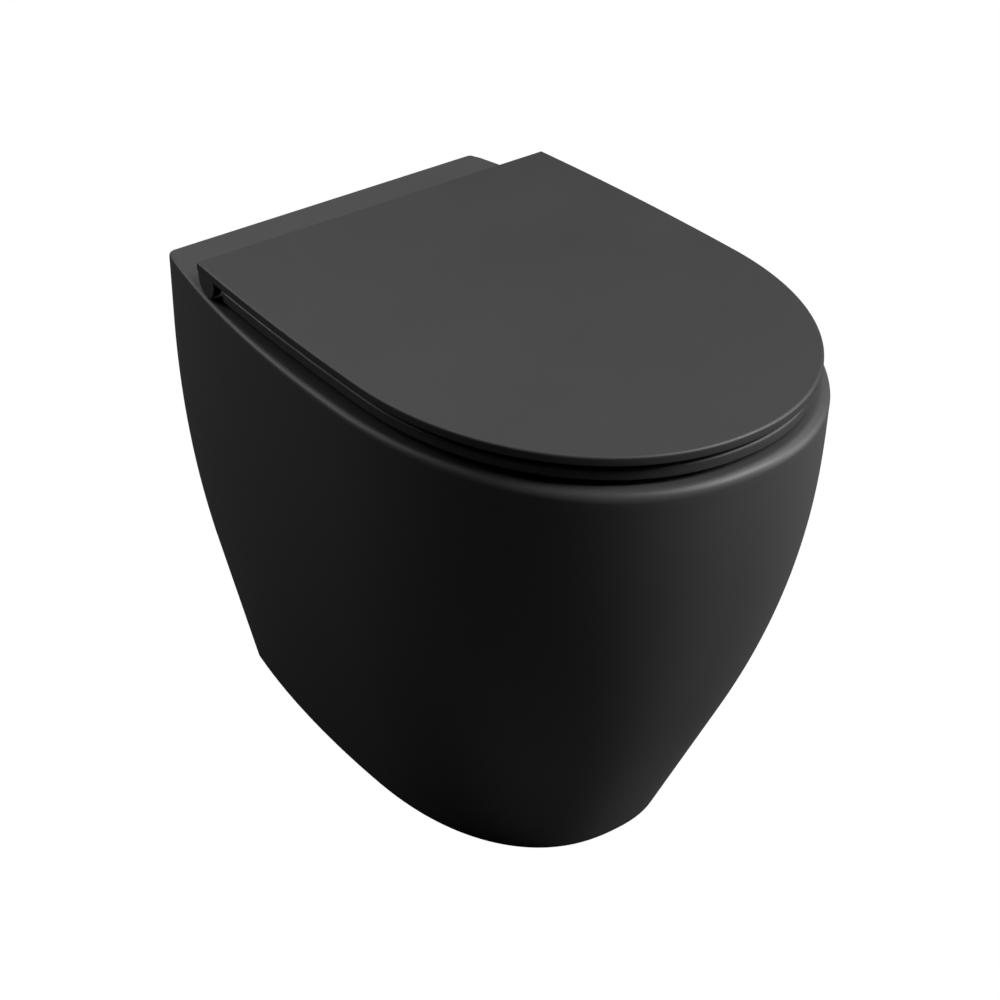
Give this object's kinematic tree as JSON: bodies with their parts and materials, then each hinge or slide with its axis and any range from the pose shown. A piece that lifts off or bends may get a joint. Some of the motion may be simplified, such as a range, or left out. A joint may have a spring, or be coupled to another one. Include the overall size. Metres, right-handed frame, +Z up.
{
  "type": "back-to-wall toilet",
  "caption": "Floor-standing back-to-wall toilet with a tapered oval pan and a flat D-shaped soft-close seat and lid, in matte black.",
  "frame": {"origin": "on the floor, in the plane of the wall, on the pan's centre line", "axes": "+Z up, -Y towards the front of the bowl, +Y into the wall, +X to the right when facing the wall"},
  "size_m": [0.373, 0.5435, 0.4445],
  "materials": {
    "pan": "matte black glaze on vitreous china",
    "lid": "matte black moulded thermoset",
    "seat": "matte black moulded thermoset",
    "floor_bracket": "natural glass-filled nylon",
    "rubber_sleeve": "moulded rubber",
    "rubber_bush": "moulded rubber",
    "stainless_stud": "turned stainless steel",
    "cone_nut": "turned brass",
    "base_plate": "polished stainless steel",
    "hinge_block": "chromed die casting",
    "hinge_spindle": "ground stainless steel",
    "button_spring": "spring wire",
    "release_button": "moulded acetal",
    "buffers": "soft rubber",
    "damper": "moulded damper cartridge",
    "hinge_bush": "natural acetal"
  },
  "bodies": {
    "pan": {"pan": "pan", "floor_bracket_left": "floor_bracket", "floor_bracket_right": "floor_bracket", "bracket_sleeve_left": "rubber_sleeve", "bracket_sleeve_right": "rubber_sleeve", "expansion_bush_left": "rubber_bush", "expansion_bush_right": "rubber_bush", "fixing_stud_left": "stainless_stud", "fixing_stud_right": "stainless_stud", "cone_nut_left": "cone_nut", "cone_nut_right": "cone_nut", "base_plate_left": "base_plate", "base_plate_right": "base_plate", "hinge_block_left": "hinge_block", "hinge_block_right": "hinge_block", "hinge_spindle_left": "hinge_spindle", "hinge_spindle_right": "hinge_spindle", "button_spring_left": "button_spring", "button_spring_right": "button_spring"},
    "release_button_left": {"release_button_left": "release_button"},
    "release_button_right": {"release_button_right": "release_button"},
    "seat": {"seat_ring": "seat", "seat_buffers": "buffers", "seat_damper": "damper", "seat_hinge_bush": "hinge_bush"},
    "lid": {"lid": "lid", "lid_buffers": "buffers", "lid_damper": "damper", "lid_hinge_bush": "hinge_bush"}
  },
  "joints": [
    {"name": "seat_hinge", "type": "hinge", "parent": "pan", "child": "seat", "pos_m": [0, -0.089, 0.4335], "axis": [-1, 0, 0], "range_deg": [0, 92]},
    {"name": "lid_hinge", "type": "hinge", "parent": "seat", "child": "lid", "pos_m": [0, -0.089, 0.4335], "axis": [-1, 0, 0], "range_deg": [0, 90]},
    {"name": "release_button_left_press", "type": "slide", "parent": "pan", "child": "release_button_left", "axis": [0, 1, 0], "range_m": [0, 0.0022], "stiffness_N_per_m": 600, "springref_m": -0.001, "deforming": ["button_spring_left"]},
    {"name": "release_button_right_press", "type": "slide", "parent": "pan", "child": "release_button_right", "axis": [0, 1, 0], "range_m": [0, 0.0022], "stiffness_N_per_m": 600, "springref_m": -0.001, "deforming": ["button_spring_right"]}
  ]
}
